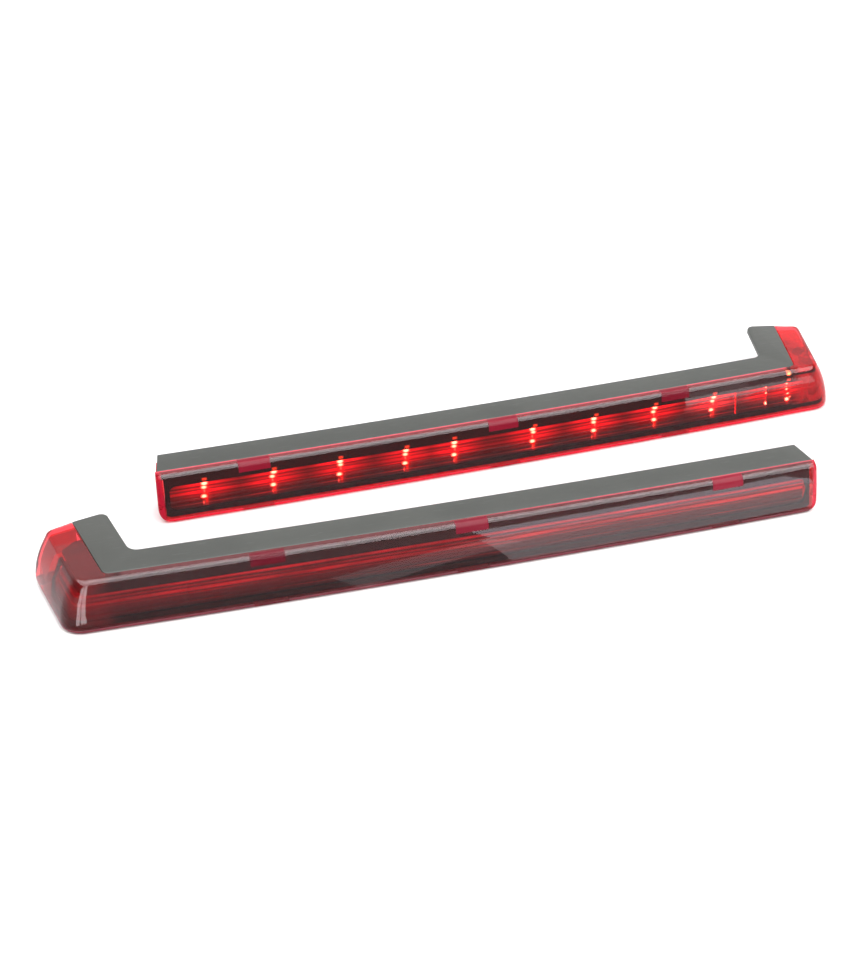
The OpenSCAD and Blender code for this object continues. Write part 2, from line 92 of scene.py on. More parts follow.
# ---------------------------------------------------------------- one lamp's sizes, as in the CAD
# In mm and in the lamp's own frame: x along the arm from the outer corner of the plate, y back, z up.

ARM_L, LAMP_H, ARM_W, HOOK_W, HOOK_L = 268, 19.8, 11.3, 12.5, 34.6
SPLAY = math.radians(13.4)
ARM_BOW, END_SLANT = 1.5, 2
PLATE_T, PLATE_CORNER_R, PLATE_INNER_R, PLATE_TIP_R = 2.1, 3, 4.5, 3
LENS_WALL, RIDGE_R, FOOT_R = 1.6, 2.2, 1.5
END_PROUD, END_R, END_LOW_R, END_TOP_R = 0.6, 3, 5.4, 2
FOOT_ARM, FOOT_HOOK = 7.2, 16.7
FRAME_T, WINDOW_LOW, WINDOW_HIGH, WINDOW_HIGH_HOOK, WINDOW_R = 1.2, 3.6, 13.7, 16.4, 2.8
FRAME_END, OPTIC_SEAM = 20, 27.5
FLUTES, FLUTE_DEPTH = 7, 0.45
GAP, EDGE_GAP = 0.1, 0.25
PLATE_Z = LAMP_H - PLATE_T
RIDGE_Z = LAMP_H - RIDGE_R
ARM_SLOPE = 4 * ARM_BOW / ARM_L
HOUSING_BACK, HOUSING_WALL = 10.9, 1.6
FRAME_DEPTH = LENS_WALL + 0.15
FRAME_LOW, FRAME_HIGH = LENS_WALL + GAP, PLATE_Z - GAP - 0.6
WINDOW_END = ARM_L - 3.9
OPTIC_DEPTH, OPTIC_T = FRAME_DEPTH + FRAME_T + 0.25, 1.9
JOINT_ARM, JOINT_HOOK = -1.5, 1
BOARD = (29, 262, 2.8, 4.4, 2.4)  # x from and to, y from and to, lowest z of the long board
RIGHT_TURN = math.radians(1.8)
TAB_X, TAB_L = (56.4, 131, 231.4), 12.4
LED_X = [37.8 + 26.6 * i + (6.4 if i == 4 else 0) for i in range(9)]
CORNER_LED_X = [3.1, 12.5]

# Each wall of the lens: the lip's width, the angle where the ridge's arc stops, how far out the foot
# is, and how much the face bulges.
WALL_ARM = (1.6, math.radians(10), FOOT_ARM, 0.2)
WALL_HOOK = (8.6, math.radians(25), FOOT_HOOK, 1.2)
ARM, CORNER, HOOK = "arm", "corner", "hook"


def mix(a, b, t):
    return a + (b - a) * t


ARM_DIR = Vector((1, -ARM_SLOPE)).normalized()
HOOK_DIR = Vector((-math.sin(SPLAY), math.cos(SPLAY)))
HOOK_OUT = Vector((-math.cos(SPLAY), -math.sin(SPLAY)))
CORNER_HALF = math.acos(ARM_DIR.dot(HOOK_DIR)) / 2
INWARD = (ARM_DIR + HOOK_DIR).normalized()
ARC_FROM, ARC_TO = math.radians(270) - math.atan(ARM_SLOPE), math.radians(180) + SPLAY


def bow(x):
    """The arm's edge is an arc that bulges towards the front."""
    return -4 * ARM_BOW * (x / ARM_L) * (1 - x / ARM_L)


def arm_point(x, out):
    """A point that far out from the plate's edge on the arm, whose last stretch is cut on a slant."""
    slant = (END_SLANT / ARM_W) * max(0, 1 - (ARM_L - x) / 30)
    return Vector((x + out * slant, bow(x) - out))


def hook_point(along, out):
    return HOOK_DIR * along + HOOK_OUT * out


def meeting(out_a, out_h):
    """Where the line that far out from the arm meets the line that far out from the hook."""
    along = (out_h * (ARM_SLOPE * math.cos(SPLAY) + math.sin(SPLAY)) - out_a) / (
        math.cos(SPLAY) - ARM_SLOPE * math.sin(SPLAY))
    return hook_point(along, out_h)


def corner_point(t, out_a, out_h, r):
    """A point of the arc of radius r that rounds that corner, from the arm at 0 to the hook at 1."""
    angle = mix(ARC_FROM, ARC_TO, t)
    centre = meeting(out_a, out_h) + INWARD * r / math.sin(CORNER_HALF)
    return centre + r * Vector((math.cos(angle), math.sin(angle)))


def corner_r(radius, out):
    """The corner's radius grows with the distance out from the plate, up to a limit."""
    return max(radius + 0.9 * min(out, 6), 1)


def arc(centre, r, start, end, steps):
    angles = [mix(start, end, i / steps) for i in range(steps + 1)]
    return [(centre[0] + r * math.cos(angle), centre[1] + r * math.sin(angle)) for angle in angles]


def ridge_end_z(wall):
    return RIDGE_Z + RIDGE_R * math.sin(wall[1])


def wall_out(wall, z):
    """How far out the lens' outer face is at height z."""
    top_z = ridge_end_z(wall)
    t = (top_z - z) / (top_z - FOOT_R)
    return mix(wall[0] + RIDGE_R * math.cos(wall[1]), wall[2], t) + wall[3] * 4 * t * (1 - t)


WALL_STEPS = [i / 10 for i in range(1, 10)]
RIDGE_STEPS, FOOT_STEPS = 12, 8


def wall_points(wall, depth):
    heights = [mix(ridge_end_z(wall), FOOT_R, t) for t in WALL_STEPS]
    return [(wall_out(wall, z) - depth, z) for z in heights]


# A section is a ring of points (out, z).

def solid_section(wall, back):
    """The lens as if it were solid: the lip, the ridge's arc, the wall, the foot's arc and the base."""
    up = math.radians(90)
    return (
        [(EDGE_GAP, PLATE_Z - GAP), (EDGE_GAP, LAMP_H)]
        + arc((wall[0], RIDGE_Z), RIDGE_R, up, wall[1], RIDGE_STEPS)
        + wall_points(wall, 0)
        + arc((wall[2] - FOOT_R, FOOT_R), FOOT_R, 0, -up, FOOT_STEPS)
        + [(-back, 0), (-back, PLATE_Z - GAP)]
    )


def hollow_section(wall, back, floor_out):
    """What is hollowed out of it. Its floor stops floor_out from the plate's edge, where the lens is open."""
    inner = wall[2] - LENS_WALL
    return (
        [(floor_out, LENS_WALL), (floor_out, -1), (-back, -1), (-back, LAMP_H - LENS_WALL)]
        + arc((wall[0], RIDGE_Z), RIDGE_R - LENS_WALL, math.radians(90), wall[1], RIDGE_STEPS // 2)
        + wall_points(wall, LENS_WALL)
        + [(inner, FOOT_R + 1), (inner - 0.05, LENS_WALL)]
    )


def joined(arm_section, hook_section, radius):
    """A section for the sweep: each point's place on the arm and on the hook, and its corner's radius."""
    return [(a[0], a[1], h[0], h[1], corner_r(radius, a[0])) for a, h in zip(arm_section, hook_section)]


def behind_wall(depth, z_arm, z_hook):
    """The same for one point that lies a depth behind the lens' outer face."""
    out = wall_out(WALL_ARM, z_arm) - depth
    return (out, z_arm, wall_out(WALL_HOOK, z_hook) - depth, z_hook, corner_r(1.7, out))


# ---------------------------------------------------------------- sweeping a section along the L

def pull(d, r):
    """How far a corner of radius r draws the edge in, at a distance d from its end."""
    return 0 if d >= r else r - math.sqrt(r * r - (r - d) ** 2)


# A station says where a section is placed: the stretch, how far along it, and how far the section's wall
# is drawn in, its foot raised and its top lowered.

def plain(stretch, along):
    return (stretch, along, 0, 0, 0)


def rounded(stretch, along, d, wall):
    """A station at a distance d before a rounded end, for a skin that lies wall inside the lens' face."""
    return (stretch, along, pull(d, END_R - wall), pull(d, END_LOW_R - wall), pull(d, END_TOP_R - wall))


def swept_point(station, point):
    """Where a section's point lies at a station."""
    stretch, along, draw_in, raise_foot, lower_top = station
    out_arm, z_arm, out_hook, z_hook, radius = point
    out_arm -= draw_in * max(out_arm, 0) / FOOT_ARM
    out_hook -= draw_in * max(out_hook, 0) / FOOT_HOOK
    if stretch == ARM:
        p, z = arm_point(along, out_arm), z_arm
    elif stretch == HOOK:
        p, z = hook_point(along, out_hook), z_hook
    else:
        p, z = corner_point(along, out_arm, out_hook, radius), mix(z_arm, z_hook, along)
    if z >= 0:
        z += (raise_foot * max(1 - z / (PLATE_Z - GAP), 0)
              - lower_top * min(max(out_arm, 0), 2) / 2 * z / LAMP_H)
    return Vector((p[0], p[1], z))


# How far before a rounded end the sections stand, closer together where it is rounder.
END_STEPS = [0, 0.1, 0.25, 0.5, 0.9, 1.4, 2, 2.8, 3.8, 5.4]
ARM_XS = [mix(ARM_L - 8, 16, i / 40) for i in range(41)]
CORNER_STEPS = [plain(CORNER, i / 20) for i in range(21)]
HOOK_ALONG = [14, 17, 20, 23, 26.5]


def full_run(wall):
    """Stations from the straight end, round the corner, to the hook's end."""
    return (
        [rounded(ARM, ARM_L + END_PROUD - wall - d, d, wall) for d in END_STEPS]
        + [plain(ARM, x) for x in ARM_XS]
        + CORNER_STEPS
        + [plain(HOOK, along) for along in HOOK_ALONG]
        + [rounded(HOOK, HOOK_L - wall - d, d, wall) for d in reversed(END_STEPS)]
    )


def sweep(sections):
    """The closed skin over a list of rings of points, one ring for each station."""
    k = len(sections[0])
    verts = [p for ring in sections for p in ring]
    faces = [tuple(reversed(range(k)))]
    for j in range(len(sections) - 1):
        for i in range(k):
            a, b = j * k + i, j * k + (i + 1) % k
            faces.append((a, b, b + k, a + k))
    faces.append(tuple(range((len(sections) - 1) * k, len(sections) * k)))
    return verts, faces


def swept(section, stations):
    return sweep([[swept_point(station, point) for point in section] for station in stations])


# ---------------------------------------------------------------- making pieces

def lamp_matrix(side):
    """From a lamp's own frame in mm to the row frame in metres."""
    x0, x1, y0, y1, z0 = BOARD
    turn = Matrix.Identity(4)
    if side == "right":
        turn = Matrix.Rotation(RIGHT_TURN, 4, "Z") @ Matrix.Scale(-1, 4, (1, 0, 0))
    corners = [turn @ Vector((x, y, z0)) * MM for x in (x0, x1) for y in (y0, y1)]
    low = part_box(f"{side}_circuit_board")[0]
    offset = Vector([low[i] - min(c[i] for c in corners) for i in range(3)])
    return Matrix.Translation(offset) @ turn @ Matrix.Scale(MM, 4)


MATRIX = {side: lamp_matrix(side) for side in SIDES}


def new_object(name, verts, faces):
    mesh = bpy.data.meshes.new(name)
    mesh.from_pydata(verts, [], faces)
    obj = bpy.data.objects.new(name, mesh)
    SCENE.collection.objects.link(obj)
    return obj


def outward(obj):
    bm = bmesh.new()
    bm.from_mesh(obj.data)
    bmesh.ops.recalc_face_normals(bm, faces=bm.faces)
    bm.to_mesh(obj.data)
    bm.free()


def apply_modifiers(obj):
    mesh = bpy.data.meshes.new_from_object(obj.evaluated_get(bpy.context.evaluated_depsgraph_get()))
    obj.modifiers.clear()
    obj.data = mesh


def combine(obj, other, operation):
    """A boolean of two closed meshes, which uses up the second."""
    for part in (obj, other):
        outward(part)
    boolean = obj.modifiers.new("boolean", "BOOLEAN")
    boolean.operation = operation
    boolean.object = other
    boolean.solver = "MANIFOLD"
    apply_modifiers(obj)
    bpy.data.objects.remove(other)


def bevelled(obj, width, segments, angle):
    bevel = obj.modifiers.new("bevel", "BEVEL")
    bevel.width = width
    bevel.segments = segments
    bevel.limit_method = "ANGLE"
    bevel.angle_limit = math.radians(angle)
    apply_modifiers(obj)


def finish_piece(obj, side, name, materials, node, smooth):
    """Turns a mesh made in the lamp's frame into a piece of that lamp, smooth up to an angle in degrees.

    The mesh keeps its points' places in the lamp's frame, for the materials."""
    mesh = obj.data
    obj.name = mesh.name = f"{side}_{name}"
    lamp = mesh.attributes.new("lamp", "FLOAT_VECTOR", "POINT")
    for i, v in enumerate(mesh.vertices):
        lamp.data[i].vector = v.co
    mesh.transform(MATRIX[side])
    outward(obj)
    mesh.materials.clear()
    for m in materials:
        mesh.materials.append(m)
    mesh.shade_smooth()
    mesh.set_sharp_from_angle(angle=math.radians(smooth))
    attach(obj, "root")
    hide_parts(f"{side}_{node}")


# ---------------------------------------------------------------- materials

class Shade:
    """A short way to write a node material."""

    def __init__(self, name):
        self.material = bpy.data.materials.new(name)
        self.material.use_nodes = True
        self.tree = self.material.node_tree
        self.tree.nodes.clear()
        self.output = self.tree.nodes.new("ShaderNodeOutputMaterial")

    def node(self, kind, settings=None, **inputs):
        n = self.tree.nodes.new("ShaderNode" + kind)
        for key, value in (settings or {}).items():
            setattr(n, key, value)
        for key, value in inputs.items():
            self.put(n.inputs[key.replace("_", " ")], value)
        return n

    def put(self, socket, value):
        if isinstance(value, bpy.types.NodeSocket):
            self.tree.links.new(value, socket)
        elif isinstance(value, (tuple, list)) and len(value) == 3 and socket.type == "RGBA":
            socket.default_value = (*value, 1)
        else:
            socket.default_value = value

    def math(self, operation, a, b=0.0):
        n = self.node("Math", {"operation": operation})
        self.put(n.inputs[0], a)
        self.put(n.inputs[1], b)
        return n.outputs[0]

    def times(self, a, b):
        return self.math("MULTIPLY", a, b)

    def plus(self, a, b):
        return self.math("ADD", a, b)

    def minus(self, a, b):
        return self.math("SUBTRACT", a, b)

    def apart(self, a, b):
        """How far apart two values are."""
        return self.math("ABSOLUTE", self.minus(a, b))

    def step(self, value, start, end, low=0.0, high=1.0):
        """A smooth ramp from low, where the value is at start, to high, where it is at end."""
        n = self.node("MapRange", {"interpolation_type": "SMOOTHSTEP"})
        sockets = ("Value", "From Min", "From Max", "To Min", "To Max")
        for socket, v in zip(sockets, (value, start, end, low, high)):
            self.put(n.inputs[socket], v)
        return n.outputs["Result"]

    def mix_colour(self, share, a, b, blend="MIX"):
        n = self.node("Mix", {"data_type": "RGBA", "blend_type": blend})
        self.put(n.inputs[0], share)
        self.put(n.inputs[6], a)
        self.put(n.inputs[7], b)
        return n.outputs[2]

    def over(self, share, under, top):
        """One shader laid over another by a share."""
        both = self.node("MixShader", Fac=share)
        self.put(both.inputs[1], under)
        self.put(both.inputs[2], top)
        return both.outputs[0]

    def lamp(self):
        """The three coordinates in the lamp's own frame, in mm, and the vector."""
        vector = self.node("Attribute", {"attribute_name": "lamp"}).outputs["Vector"]
        split = self.node("SeparateXYZ", Vector=vector)
        return split.outputs[0], split.outputs[1], split.outputs[2], vector

    def led(self):
        """How far along the arm a point is from the nearest LED, in mm, and a number for that LED."""
        vector = self.node("Attribute", {"attribute_name": "led"}).outputs["Vector"]
        split = self.node("SeparateXYZ", Vector=vector)
        return split.outputs[0], split.outputs[1]

    def place(self):
        """The row frame's coordinates, in mm."""
        coords = self.node("TexCoord").outputs["Object"]
        return self.node("VectorMath", {"operation": "SCALE"}, Vector=coords, Scale=1000.0).outputs[0]

    def noise(self, vector, scale, detail=2.0, roughness=0.5, stretch=(1, 1, 1)):
        mapping = self.node("Mapping", Vector=vector, Scale=stretch)
        n = self.node("TexNoise", Vector=mapping.outputs[0], Scale=scale, Detail=detail, Roughness=roughness)
        return n.outputs[0]

    def bump(self, height, strength, distance=0.0001):
        return self.node("Bump", Height=height, Strength=strength, Distance=distance).outputs[0]

    def principled(self, **inputs):
        return self.node("BsdfPrincipled", **inputs).outputs[0]

    def end(self, shader):
        self.tree.links.new(shader, self.output.inputs["Surface"])
        return self.material


def moulded(name, colour, roughness, grain=0.4, grain_scale=2.5, spread=0.25, **extra):
    """Moulded plastic, rubber or film: fine grain and a slow drift of colour and gloss."""
    s = Shade(name)
    at = s.place()
    drift = s.noise(at, 0.05, 3)
    fine = s.noise(at, grain_scale, 2)
    dark = [c * (1 - spread) for c in colour]
    light = [min(c * (1 + spread), 1) for c in colour]
    gloss = s.step(s.noise(at, 0.4, 3), 0.25, 0.75, roughness * 0.85, min(roughness * 1.15, 1))
    return s.end(s.principled(
        Base_Color=s.mix_colour(s.step(drift, 0.3, 0.7), dark, light), Roughness=gloss,
        Normal=s.bump(fine, grain, 0.00005), **extra))


def plate_material():
    """Dark grey plastic with fine grain and faint scuffs along the arm."""
    s = Shade("plate_plastic")
    at = s.lamp()[3]
    drift = s.noise(at, 0.03, 3)
    fine = s.noise(at, 3.2, 3, 0.6)
    scuffs = s.noise(at, 0.5, 4, 0.65, (0.25, 2, 1))
    base = s.mix_colour(s.step(drift, 0.3, 0.7), (0.044, 0.046, 0.042), (0.053, 0.055, 0.05))
    base = s.mix_colour(s.times(s.step(scuffs, 0.58, 0.72), 0.35), base, (0.09, 0.092, 0.088))
    return s.end(s.principled(
        Base_Color=base, Roughness=s.step(scuffs, 0.3, 0.7, 0.44, 0.37), Specular_IOR_Level=0.26,
        Normal=s.bump(fine, 0.35, 0.00006)))


LENS_TINT = (0.93, 0.2, 0.24)
LENS_INNER_TINT = (0.93, 0.24, 0.28)
LENS_IOR = 1.33
BORDER_TOP = 1.95
TAB_FOOT = 16.2


def on_tabs(s, x):
    """1 beside the snap tabs of the lens, and 0 between them."""
    total = 0.0
    for at_x in TAB_X:
        total = s.plus(total, s.step(s.apart(x, at_x), TAB_L / 2 + 0.2, TAB_L / 2 - 0.2))
    return total


def out_of_arm(s, x, y):
    """How far a point is out from the plate's outer edge along the arm."""
    part = s.math("DIVIDE", x, ARM_L)
    bulge = s.times(s.times(part, s.minus(1.0, part)), -4.0 * ARM_BOW)
    return s.minus(bulge, y)


def with_painted_glow(s, under, share, colour, glow, strength):
    """Red plastic with a painted glow, emission that stands in for the light the plastic carries, laid over
    another shader by a share.
    """
    body = s.principled(
        Base_Color=colour, Roughness=0.25, Specular_IOR_Level=0.08,
        Emission_Color=glow, Emission_Strength=strength)
    return s.over(share, under, body)


def border_painted_glow(s, under, z, at, tabs, lit):
    """The streaky band round the lens' foot: red colour with a painted glow for light carried through the
    foot, dulled below the tabs.
    """
    streak = s.noise(at, 0.5, 3, 0.6, (0.12, 1, 1))
    dulled = s.minus(1.0, s.times(tabs, 0.6))
    share = s.times(s.step(z, BORDER_TOP - 0.25, BORDER_TOP + 0.25, 1.0, 0.0), dulled)
    colour, glow, most = (0.15, 0.03, 0.04), (0.08, 0.008, 0.014), 0.85
    if lit:
        colour, glow, most = (0.4, 0.006, 0.018), (0.66, 0.006, 0.022), 0.93
    return with_painted_glow(s, under, s.times(share, most), colour, glow, s.step(streak, 0.3, 0.7, 0.45, 1.0))


def end_painted_glow(s, under, x, at, lit):
    """The straight end's face, with a painted glow in patches."""
    patches = s.step(s.noise(at, 0.35, 2, 0.6), 0.34, 0.5, 0.25, 0.95)
    share = s.times(s.step(x, ARM_L - 1.5, ARM_L - 0.7), patches)
    return with_painted_glow(s, under, share, (0.3, 0.005, 0.02), (0.6, 0.005, 0.026), 0.3 if lit else 0.6)


def plate_edge(s, under, x, z, out, lit):
    """The line of light where the lens meets the plate, which fades along the unlit lamp."""
    share = s.times(s.step(out, 0.95, 0.75), s.step(z, LAMP_H - 0.35, LAMP_H - 0.2))
    share = s.times(share, s.step(x, 3.0, 6.0) if lit else s.step(x, 95.0, 190.0))
    strength = 0.95 if lit else 0.55
    return with_painted_glow(s, under, s.times(share, 0.9), (0.5, 0.03, 0.06), (0.62, 0.03, 0.06), strength)


def lip(s, under, x, y, z, tabs, lit):
    """The flat strip beside the plate, with a painted red glow: painted shade above the lit lamp's tabs, and
    on the unlit lamp's hook a brownish tone with a faint painted glow.
    """
    on_arm = s.times(s.step(z, LAMP_H - 0.5, LAMP_H - 0.1), s.step(x, 4.0, 7.0))
    colour = (0.42, 0.07, 0.08) if lit else (0.24, 0.07, 0.075)
    under = with_painted_glow(s, under, s.times(on_arm, 0.4), colour, (0.4, 0.04, 0.05), 0.2 if lit else 0.05)
    if lit:
        # painted shade: the lip darkened above the lit lamp's tabs
        painted_tab_shade = s.times(s.times(on_arm, tabs), s.step(z, LAMP_H - 0.12, LAMP_H - 0.05))
        return with_painted_glow(s, under, s.times(painted_tab_shade, 0.6), (0.04, 0.02, 0.02), (0.1, 0.01, 0.01), 0.1)
    on_hook = s.times(s.step(z, LAMP_H - 0.9, LAMP_H - 0.2), s.step(x, 5.0, 2.0))
    on_hook = s.times(on_hook, s.step(y, 22.0, 19.0))
    return with_painted_glow(s, under, s.times(on_hook, 0.3), (0.2, 0.05, 0.05), (0.2, 0.05, 0.05), 0.1)


def tab_blocks_painted_glow(s, under, x, blocks, lit):
    """The tabs' red blocks on the ridge, with a painted glow that is fainter near the unlit lamp's corner."""
    share = s.times(blocks, s.step(x, 60.0, 130.0, 0.55, 0.75))
    strength = 0.4 if lit else s.step(x, 50.0, 240.0, 0.08, 0.45)
    return with_painted_glow(s, under, share, (0.16, 0.006, 0.02), (0.5, 0.006, 0.03), strength)


def lens_material(lit):
    """Clear red plastic: tinted straight through, a Fresnel shine, and edges with a painted glow for the
    light they carry.
    """
    s = Shade("lens_lit" if lit else "lens_unlit")
    x, y, z, at = s.lamp()
    specks = s.step(s.noise(at, 1.1, 2), 0.74, 0.78)
    roughness = s.plus(0.03, s.times(specks, 0.2))
    clear = s.node("BsdfTransparent", Color=LENS_TINT).outputs[0]
    shine = s.node("BsdfGlossy", Color=(0.95, 0.95, 0.97), Roughness=roughness).outputs[0]
    facing = s.node("Fresnel", IOR=LENS_IOR).outputs[0]
    tabs = on_tabs(s, x)
    out = out_of_arm(s, x, y)
    blocks = s.times(tabs, s.times(s.step(z, TAB_FOOT - 0.1, TAB_FOOT + 0.1), s.step(out, 0.9, 1.1)))
    inside = border_painted_glow(s, clear, z, at, tabs, lit)
    inside = end_painted_glow(s, inside, x, at, lit)
    inside = plate_edge(s, inside, x, z, out, lit)
    inside = lip(s, inside, x, y, z, tabs, lit)
    inside = tab_blocks_painted_glow(s, inside, x, blocks, lit)
    matt = s.plus(s.times(blocks, 0.88), s.times(s.step(x, ARM_L - 1.5, ARM_L - 0.5), 0.9))
    matt = s.math("MAXIMUM", matt, s.step(z, 1.6, 1.2, 0.0, 0.85))
    return s.end(s.over(s.times(facing, s.minus(1.0, matt)), inside, shine))


def hook_spill(s, under, z, at, on_hook):
    """The light that spills past the frame into the hook, in patches, with a dark band high and low."""
    cells = s.node("TexVoronoi", Vector=at, Scale=0.2).outputs["Color"]
    value = s.node("SeparateColor", Color=cells).outputs[0]
    soft = s.noise(at, 0.12, 3, 0.6)
    patches = s.plus(s.step(value, 0.2, 0.7, 0.25, 0.5), s.step(soft, 0.35, 0.65, 0.0, 0.3))
    bands = s.plus(s.step(s.apart(z, 16.9), 0.7, 0.3), s.step(s.apart(z, 2.9), 1.0, 0.6))
    share = s.times(s.times(patches, on_hook), s.minus(1.0, bands))
    return with_painted_glow(s, under, share, (0.4, 0.01, 0.03), (0.66, 0.008, 0.025), 0.7)


def painted_led_reflections(s, under, x, z):
    """A painted reflection of each LED, faint orange, above the window, and painted yellow glints on the lip
    by the corner.
    """
    along, chance = s.led()
    shift = s.minus(chance, 0.5)
    beside = s.apart(along, shift)
    above = s.apart(z, s.plus(14.9, s.times(shift, 0.5)))
    painted_reflection = s.times(s.step(beside, 1.3, 0.4), s.step(above, 0.7, 0.25))
    under = with_painted_glow(s, under, s.times(painted_reflection, 0.85), (0.4, 0.02, 0.02), (1.0, 0.22, 0.04), 1.3)
    above = s.apart(z, s.plus(17.3, s.times(shift, 0.8)))
    painted_glint = s.times(s.times(s.step(beside, 1.2, 0.3), s.step(above, 0.8, 0.2)), s.step(x, 20.0, 16.0))
    return with_painted_glow(s, under, painted_glint, (0.4, 0.02, 0.02), (1.0, 0.75, 0.2), 6.0)


def hook_painted_haze(s, under, y, z, at, on_hook):
    """A haze of painted glow in the unlit hook, and a dull area of painted glow above a slanting line on its
    far side.
    """
    haze = s.step(s.noise(at, 0.1, 3, 0.6), 0.3, 0.7, 0.1, 0.3)
    under = with_painted_glow(s, under, s.times(haze, on_hook), (0.5, 0.14, 0.15), (0.3, 0.05, 0.06), 0.2)
    above = s.minus(z, s.times(s.minus(y, 14.0), 0.55))
    dull = s.times(s.step(above, -0.3, 0.3), s.step(y, 19.5, 21.0))
    dull = s.times(s.times(dull, on_hook), s.step(z, 17.6, 17.0))
    return with_painted_glow(s, under, s.times(dull, 0.6), (0.3, 0.16, 0.16), (0.3, 0.16, 0.16), 0.3)


def lens_inner_material(lit):
    """The lens' inside faces: tinted, with painted stray light in the lit lamp and a painted haze in the
    other's hook.
    """
    s = Shade("lens_inside_lit" if lit else "lens_inside_unlit")
    x, y, z, at = s.lamp()
    tint = s.node("BsdfTransparent", Color=LENS_INNER_TINT).outputs[0]
    on_hook = s.step(x, 3.0, -3.0)
    if lit:
        return s.end(painted_led_reflections(s, hook_spill(s, tint, z, at, on_hook), x, z))
    return s.end(hook_painted_haze(s, tint, y, z, at, on_hook))


# The painted lines of light that the flutes make: height and half width in mm, and strength.
LINES = ((13.2, 0.2, 0.8), (12.2, 0.52, 1.0), (10.6, 0.26, 0.5), (9.2, 0.52, 0.95), (7.7, 0.22, 0.45),
         (6.2, 0.3, 0.12), (4.5, 0.17, 0.36))


def flute_light(s, z, at):
    """Painted bright lines of light along the flutes, which wander a little and fade in and out along the
    lamp.
    """
    wander = s.times(s.minus(s.noise(at, 0.012, 2, 0.5, (1, 0.3, 0.3)), 0.5), 1.6)
    height = s.plus(z, wander)
    total = 0.0
    for i, (at_z, half, strength) in enumerate(LINES):
        line = s.step(s.apart(height, at_z), half * 1.8, half * 0.3)
        fade = s.step(s.noise(at, 0.025 + 0.004 * i, 2, 0.5, (1, 0.2, 0.2)), 0.3, 0.65, 0.35, 1.0)
        total = s.plus(total, s.times(s.times(line, fade), strength))
    fine = s.step(s.noise(at, 0.9, 3, 0.6, (0.02, 1, 1)), 0.3, 0.72, 0.55, 1.15)
    return s.times(total, fine)


def optic_material():
    """The unlit optic: crimson lines of painted light, brighter towards the straight end, on a dark ground
    with a faint painted glow that is stronger above its lowest part.
    """
    s = Shade("optic_unlit")
    x, _, z, at = s.lamp()
    light = s.times(flute_light(s, z, at), s.step(x, 110.0, 170.0, 1.0, 1.7))
    base = s.mix_colour(s.step(light, 0.05, 1.0), (0.05, 0.012, 0.03), (0.36, 0.008, 0.05))
    ground = s.step(z, 4.8, 7.0, 0.012, 0.1)
    return s.end(s.principled(
        Base_Color=base, Roughness=0.22, Specular_IOR_Level=0.05, Emission_Color=(0.5, 0.012, 0.09),
        Emission_Strength=s.plus(s.times(light, 0.62), ground)))


# Each LED's painted glints on the optic: how far along, how high, half width and half height in mm, and
# strength.
GLINTS = ((0.0, 12.4, 1.5, 0.9, 1.2), (0.3, 10.8, 1.3, 0.65, 1.05), (0.6, 7.2, 1.3, 0.8, 1.1),
          (0.2, 9.4, 0.5, 0.9, 0.3), (0.9, 4.8, 0.5, 1.2, 0.22))
CORNER_GLINTS = ((0.7, 12.6, 0.9, 0.6, 1.1), (0.5, 10.2, 0.8, 0.6, 0.95), (-0.5, 8.3, 0.8, 0.6, 1.0),
                 (0.4, 5.6, 1.1, 0.8, 1.25), (-1.3, 6.5, 0.5, 0.5, 0.8), (0.2, 11.4, 0.4, 0.4, 0.7))


def glint_light(s, z, glints):
    """All the painted glints of each LED, each shifted a little by the LED's own number."""
    along, chance = s.led()
    total = 0.0
    for i, (glint_x, glint_z, half_w, half_h, strength) in enumerate(glints):
        shift = s.times(s.minus(s.math("FRACT", s.times(chance, 7.0 + 3 * i)), 0.5), 0.9)
        dx = s.math("DIVIDE", s.minus(s.minus(along, glint_x), shift), half_w)
        dz = s.math("DIVIDE", s.plus(s.minus(z, glint_z), s.times(shift, 0.4)), half_h)
        r = s.math("SQRT", s.plus(s.times(dx, dx), s.times(dz, dz)))
        total = s.plus(total, s.times(s.step(r, 1.25, 0.2), strength))
    return total


def lit_optic_material(name, glints):
    """The optic with LEDs behind it: their light painted on as red streaks that fall off from each LED, and
    painted glints.
    """
    s = Shade(name)
    x, _, z, at = s.lamp()
    along, _ = s.led()
    distance = s.math("ABSOLUTE", along)
    fall = s.step(distance, 14.0, 0.0, 0.2, 1.0)
    ground = s.step(z, 5.2, 8.0, 0.02, 0.17)
    red = s.times(s.times(s.plus(flute_light(s, z, at), ground), fall), 2.2)
    # painted light: a bright line where the two optics meet, a soft patch round each LED and a narrow upright
    # streak at it
    seam = s.times(s.step(s.apart(x, OPTIC_SEAM), 0.45, 0.2), 1.4)
    halo = s.times(s.step(distance, 2.6, 0.0), s.step(z, 4.0, 7.0, 0.1, 0.45))
    column = s.times(s.step(distance, 0.9, 0.2), s.step(z, 3.2, 5.5, 0.2, 0.7))
    reds = s.node(
        "CombineColor", Red=s.plus(s.plus(red, seam), s.plus(halo, column)),
        Green=s.plus(s.times(red, 0.02), s.times(column, 0.12)), Blue=s.times(red, 0.08))
    # painted glints, yellow-white
    glare = s.math("POWER", glint_light(s, z, glints), 1.6)
    sparks = s.node(
        "CombineColor", Red=s.times(glare, 16.0), Green=s.times(glare, 22.0), Blue=s.times(glare, 9.0))
    return s.end(s.principled(
        Base_Color=(0.06, 0.006, 0.014), Roughness=0.22, Specular_IOR_Level=0.05,
        Emission_Color=s.mix_colour(1.0, reds.outputs[0], sparks.outputs[0], "ADD"), Emission_Strength=1.0))


